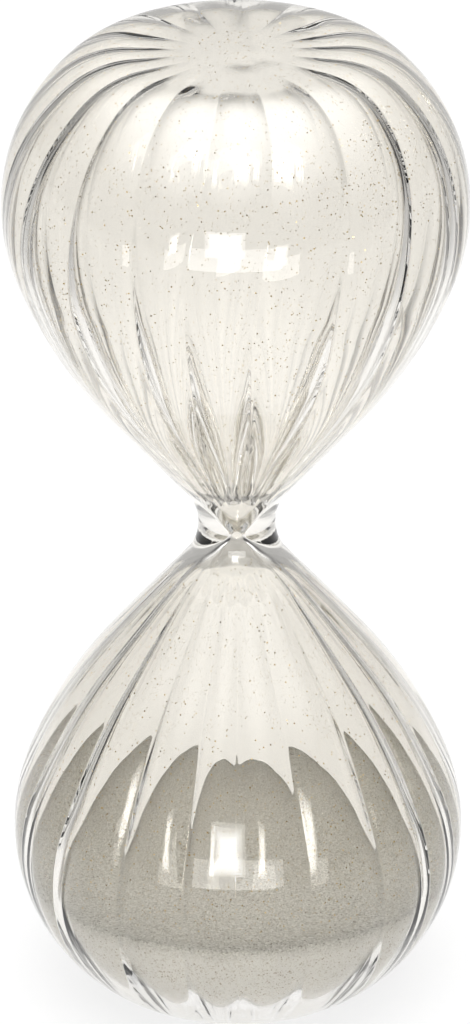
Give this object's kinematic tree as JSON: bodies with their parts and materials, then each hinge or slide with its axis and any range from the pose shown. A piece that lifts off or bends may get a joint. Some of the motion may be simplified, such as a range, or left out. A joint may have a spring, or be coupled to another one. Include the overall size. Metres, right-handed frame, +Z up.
{
  "type": "hourglass",
  "caption": "Frameless blown-glass hourglass: two internally ribbed bulbs on a thick throat, flat crown and base, sand in the lower bulb and gold glitter inside the glass.",
  "frame": {"origin": "centre of the flat that the hourglass stands on", "axes": "+Z up the axis through the neck to the crown; -Y is the front"},
  "size_m": [0.1254, 0.1254, 0.28],
  "materials": {
    "clear_glass": "clear, fire-polished, faintly warm",
    "sand": "fine warm-grey sand, matt with a few bright grains",
    "gold_glitter": "metallised gold film flakes, bright",
    "stopper_silicone": "translucent silicone, matt",
    "clear_adhesive": "clear cured adhesive, glossy"
  },
  "bodies": {
    "root": {"upper_bulb": "clear_glass", "lower_bulb": "clear_glass", "neck": "clear_glass", "sand_bed": "sand", "upper_glitter": "gold_glitter", "lower_glitter": "gold_glitter", "throat_grains": "sand", "fill_stopper": "stopper_silicone", "stopper_seal": "clear_adhesive"}
  },
  "joints": []
}
